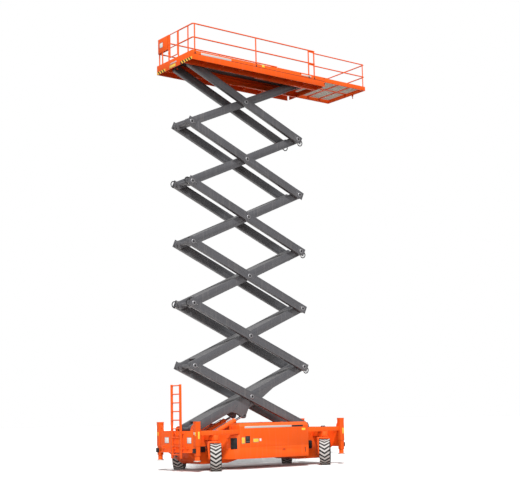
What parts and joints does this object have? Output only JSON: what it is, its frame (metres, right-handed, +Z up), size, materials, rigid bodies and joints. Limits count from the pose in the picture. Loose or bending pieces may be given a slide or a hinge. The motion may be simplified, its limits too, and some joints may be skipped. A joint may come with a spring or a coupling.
{
  "type": "scissor lift",
  "caption": "Tall rough-terrain scissor lift on steered wheels with levelling jacks, raised grey scissor arms and a railed platform with its slide-out deck extended.",
  "frame": {"origin": "middle of the whole machine's box, on the ground", "axes": "+X along the machine towards the slide-out deck, +Y across it towards the far side, +Z up"},
  "size_m": [8.76, 3.2358, 16.068],
  "materials": {
    "orange_paint": "semi-gloss paint",
    "grey_paint": "satin paint",
    "red_paint": "satin paint",
    "tread_rubber": "matt rubber",
    "rod_chrome": "polished",
    "cast_engine": "rough",
    "black_rubber": "matt",
    "grating_grey": "galvanised"
  },
  "bodies": {
    "chassis": {"chassis_frame": "orange_paint", "axle_arms": "orange_paint", "side_beams": "orange_paint", "bulkheads": "orange_paint", "jack_housings": "orange_paint", "jack_lamps": "black_rubber", "ladder": "orange_paint", "module_near": "orange_paint", "module_far": "orange_paint", "engine_block": "cast_engine", "oil_tank": "orange_paint"},
    "knuckle_near_left": {"knuckle_near_left": "orange_paint"},
    "wheel_near_left": {"tyre_near_left": "tread_rubber", "rim_near_left": "orange_paint"},
    "jack_leg_near_left": {"jack_leg_near_left": "orange_paint"},
    "knuckle_near_right": {"knuckle_near_right": "orange_paint"},
    "wheel_near_right": {"tyre_near_right": "tread_rubber", "rim_near_right": "orange_paint"},
    "jack_leg_near_right": {"jack_leg_near_right": "orange_paint"},
    "knuckle_far_left": {"knuckle_far_left": "orange_paint"},
    "wheel_far_left": {"tyre_far_left": "tread_rubber", "rim_far_left": "orange_paint"},
    "jack_leg_far_left": {"jack_leg_far_left": "orange_paint"},
    "knuckle_far_right": {"knuckle_far_right": "orange_paint"},
    "wheel_far_right": {"tyre_far_right": "tread_rubber", "rim_far_right": "orange_paint"},
    "jack_leg_far_right": {"jack_leg_far_right": "orange_paint"},
    "module_cover_near": {"module_cover_near": "orange_paint"},
    "module_cover_far": {"module_cover_far": "orange_paint"},
    "inner_arms_1": {"inner_arms_1": "grey_paint"},
    "outer_arms_1": {"outer_arms_1": "grey_paint"},
    "inner_arms_2": {"inner_arms_2": "grey_paint"},
    "outer_arms_2": {"outer_arms_2": "grey_paint", "hose_loops_2": "black_rubber"},
    "inner_arms_3": {"inner_arms_3": "grey_paint"},
    "outer_arms_3": {"outer_arms_3": "grey_paint"},
    "inner_arms_4": {"inner_arms_4": "grey_paint"},
    "outer_arms_4": {"outer_arms_4": "grey_paint", "hose_loops_4": "black_rubber"},
    "inner_arms_5": {"inner_arms_5": "grey_paint"},
    "outer_arms_5": {"outer_arms_5": "grey_paint"},
    "inner_arms_6": {"inner_arms_6": "grey_paint"},
    "outer_arms_6": {"outer_arms_6": "grey_paint", "hose_loops_6": "black_rubber"},
    "lift_barrels": {"lift_barrels": "orange_paint"},
    "lift_rods": {"lift_rods": "rod_chrome"},
    "platform": {"platform_side_beams": "orange_paint", "platform_cross_members": "orange_paint", "platform_channels": "orange_paint", "platform_deck": "orange_paint", "platform_rails": "orange_paint", "control_panel": "red_paint"},
    "gate": {"gate": "orange_paint"},
    "extension": {"extension_deck": "orange_paint", "extension_grating": "grating_grey", "extension_rails": "orange_paint"}
  },
  "joints": [
    {"name": "lift", "type": "hinge", "parent": "chassis", "child": "inner_arms_1", "pos_m": [-3.77, 0, 1.45], "axis": [0, -1, 0], "range_deg": [-20.4, 23]},
    {"name": "middle_pivot_1", "type": "hinge", "parent": "inner_arms_1", "child": "outer_arms_1", "pos_m": [-1.25508, 0, 2.5625], "axis": [0, -1, 0], "range_deg": [-46.01, 40.81]},
    {"name": "end_pivot_1", "type": "hinge", "parent": "outer_arms_1", "child": "inner_arms_2", "pos_m": [-3.77, 0, 3.675], "axis": [0, -1, 0], "range_deg": [-40.81, 46.01]},
    {"name": "middle_pivot_2", "type": "hinge", "parent": "inner_arms_2", "child": "outer_arms_2", "pos_m": [-1.25508, 0, 4.7875], "axis": [0, -1, 0], "range_deg": [-46.01, 40.81]},
    {"name": "end_pivot_2", "type": "hinge", "parent": "outer_arms_2", "child": "inner_arms_3", "pos_m": [-3.77, 0, 5.9], "axis": [0, -1, 0], "range_deg": [-40.81, 46.01]},
    {"name": "middle_pivot_3", "type": "hinge", "parent": "inner_arms_3", "child": "outer_arms_3", "pos_m": [-1.25508, 0, 7.0125], "axis": [0, -1, 0], "range_deg": [-46.01, 40.81]},
    {"name": "end_pivot_3", "type": "hinge", "parent": "outer_arms_3", "child": "inner_arms_4", "pos_m": [-3.77, 0, 8.125], "axis": [0, -1, 0], "range_deg": [-40.81, 46.01]},
    {"name": "middle_pivot_4", "type": "hinge", "parent": "inner_arms_4", "child": "outer_arms_4", "pos_m": [-1.25508, 0, 9.2375], "axis": [0, -1, 0], "range_deg": [-46.01, 40.81]},
    {"name": "end_pivot_4", "type": "hinge", "parent": "outer_arms_4", "child": "inner_arms_5", "pos_m": [-3.77, 0, 10.35], "axis": [0, -1, 0], "range_deg": [-40.81, 46.01]},
    {"name": "middle_pivot_5", "type": "hinge", "parent": "inner_arms_5", "child": "outer_arms_5", "pos_m": [-1.25508, 0, 11.4625], "axis": [0, -1, 0], "range_deg": [-46.01, 40.81]},
    {"name": "end_pivot_5", "type": "hinge", "parent": "outer_arms_5", "child": "inner_arms_6", "pos_m": [-3.77, 0, 12.575], "axis": [0, -1, 0], "range_deg": [-40.81, 46.01]},
    {"name": "middle_pivot_6", "type": "hinge", "parent": "inner_arms_6", "child": "outer_arms_6", "pos_m": [-1.25508, 0, 13.6875], "axis": [0, -1, 0], "range_deg": [-46.01, 40.81]},
    {"name": "platform_pivot", "type": "hinge", "parent": "outer_arms_6", "child": "platform", "pos_m": [-3.77, 0, 14.8], "axis": [0, -1, 0], "range_deg": [-20.41, 23.01]},
    {"name": "lift_cylinder_base", "type": "hinge", "parent": "chassis", "child": "lift_barrels", "pos_m": [-3.46, 0, 1], "axis": [0, -1, 0], "range_deg": [-21.16, 23.86]},
    {"name": "lift_cylinder_rod", "type": "slide", "parent": "lift_barrels", "child": "lift_rods", "axis": [0.9081, 0, 0.4188], "range_m": [-0.19064, 0.21481]},
    {"name": "steer_near_left", "type": "hinge", "parent": "chassis", "child": "knuckle_near_left", "pos_m": [-3.36, -1.15, 1.028], "axis": [0, 0, 1], "range_deg": [-114.5, 5.5]},
    {"name": "wheel_near_left", "type": "hinge", "parent": "knuckle_near_left", "child": "wheel_near_left", "pos_m": [-3.36, -1.15, 0.48], "axis": [-0.8141, 0.5807, 0], "continuous": true},
    {"name": "jack_near_left", "type": "slide", "parent": "chassis", "child": "jack_leg_near_left", "axis": [0, 0, -1], "range_m": [0, 0.45]},
    {"name": "steer_near_right", "type": "hinge", "parent": "chassis", "child": "knuckle_near_right", "pos_m": [1.64, -1.15, 1.028], "axis": [0, 0, 1], "range_deg": [-106.5, 13.5]},
    {"name": "wheel_near_right", "type": "hinge", "parent": "knuckle_near_right", "child": "wheel_near_right", "pos_m": [1.64, -1.15, 0.48], "axis": [-0.7254, 0.6884, 0], "continuous": true},
    {"name": "jack_near_right", "type": "slide", "parent": "chassis", "child": "jack_leg_near_right", "axis": [0, 0, -1], "range_m": [0, 0.45]},
    {"name": "steer_far_left", "type": "hinge", "parent": "chassis", "child": "knuckle_far_left", "pos_m": [-3.36, 1.15, 1.028], "axis": [0, 0, 1], "range_deg": [-106.5, 13.5]},
    {"name": "wheel_far_left", "type": "hinge", "parent": "knuckle_far_left", "child": "wheel_far_left", "pos_m": [-3.36, 1.15, 0.48], "axis": [-0.7254, 0.6884, 0], "continuous": true},
    {"name": "jack_far_left", "type": "slide", "parent": "chassis", "child": "jack_leg_far_left", "axis": [0, 0, -1], "range_m": [0, 0.45]},
    {"name": "steer_far_right", "type": "hinge", "parent": "chassis", "child": "knuckle_far_right", "pos_m": [1.64, 1.15, 1.028], "axis": [0, 0, 1], "range_deg": [-114.5, 5.5]},
    {"name": "wheel_far_right", "type": "hinge", "parent": "knuckle_far_right", "child": "wheel_far_right", "pos_m": [1.64, 1.15, 0.48], "axis": [-0.8141, 0.5807, 0], "continuous": true},
    {"name": "jack_far_right", "type": "slide", "parent": "chassis", "child": "jack_leg_far_right", "axis": [0, 0, -1], "range_m": [0, 0.45]},
    {"name": "module_cover_near", "type": "hinge", "parent": "chassis", "child": "module_cover_near", "pos_m": [-0.86, -0.632, 1.61], "axis": [-1, 0, 0], "range_deg": [0, 70]},
    {"name": "module_cover_far", "type": "hinge", "parent": "chassis", "child": "module_cover_far", "pos_m": [-0.86, 0.632, 1.61], "axis": [1, 0, 0], "range_deg": [0, 70]},
    {"name": "gate", "type": "hinge", "parent": "platform", "child": "gate", "pos_m": [-4.119, 0.42, 16.046], "axis": [0, 0, 1], "range_deg": [0, 90]},
    {"name": "extension", "type": "slide", "parent": "platform", "child": "extension", "axis": [1, 0, 0], "range_m": [-2.17, 0]}
  ],
  "couplings": [
    {"joint": "middle_pivot_1", "follows": "lift", "ratio": -2},
    {"joint": "end_pivot_1", "follows": "lift", "ratio": 2},
    {"joint": "middle_pivot_2", "follows": "lift", "ratio": -2},
    {"joint": "end_pivot_2", "follows": "lift", "ratio": 2},
    {"joint": "middle_pivot_3", "follows": "lift", "ratio": -2},
    {"joint": "end_pivot_3", "follows": "lift", "ratio": 2},
    {"joint": "middle_pivot_4", "follows": "lift", "ratio": -2},
    {"joint": "end_pivot_4", "follows": "lift", "ratio": 2},
    {"joint": "middle_pivot_5", "follows": "lift", "ratio": -2},
    {"joint": "end_pivot_5", "follows": "lift", "ratio": 2},
    {"joint": "middle_pivot_6", "follows": "lift", "ratio": -2},
    {"joint": "platform_pivot", "follows": "lift", "ratio": 1},
    {"joint": "lift_cylinder_base", "follows": "lift", "ratio": 1.0369},
    {"joint": "lift_cylinder_rod", "follows": "lift", "m_per_rad": 0.53263}
  ]
}
